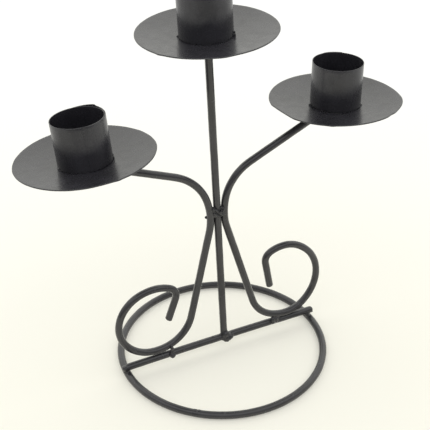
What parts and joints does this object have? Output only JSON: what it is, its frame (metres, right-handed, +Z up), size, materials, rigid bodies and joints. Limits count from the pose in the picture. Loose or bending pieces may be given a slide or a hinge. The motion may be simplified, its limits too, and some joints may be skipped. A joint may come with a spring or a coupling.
{
  "type": "candle stand",
  "caption": "Black bent-wire table candle stand: ring base, crossbar, upright and two scrolled arms, each carrying a round drip pan with a rolled candle cup.",
  "frame": {"origin": "centre of the base ring, on the table that it stands on", "axes": "+X along the crossbar towards the right-hand cup, +Y to the back, +Z up"},
  "size_m": [0.1875, 0.1076, 0.1936],
  "materials": {
    "wire_paint": "satin",
    "sheet_paint": "satin",
    "weld_paint": "satin"
  },
  "bodies": {
    "root": {"base_ring": "wire_paint", "crossbar": "wire_paint", "upright": "wire_paint", "left_arm": "wire_paint", "right_arm": "wire_paint", "left_pan": "sheet_paint", "center_pan": "sheet_paint", "right_pan": "sheet_paint", "left_cup": "sheet_paint", "center_cup": "sheet_paint", "right_cup": "sheet_paint", "ring_seam_weld": "weld_paint", "left_bar_weld": "weld_paint", "right_bar_weld": "weld_paint", "foot_weld": "weld_paint", "left_scroll_weld": "weld_paint", "right_scroll_weld": "weld_paint", "left_waist_weld": "weld_paint", "right_waist_weld": "weld_paint", "left_pan_weld": "weld_paint", "center_pan_weld": "weld_paint", "right_pan_weld": "weld_paint", "left_cup_tacks": "weld_paint", "center_cup_tacks": "weld_paint", "right_cup_tacks": "weld_paint"}
  },
  "joints": []
}
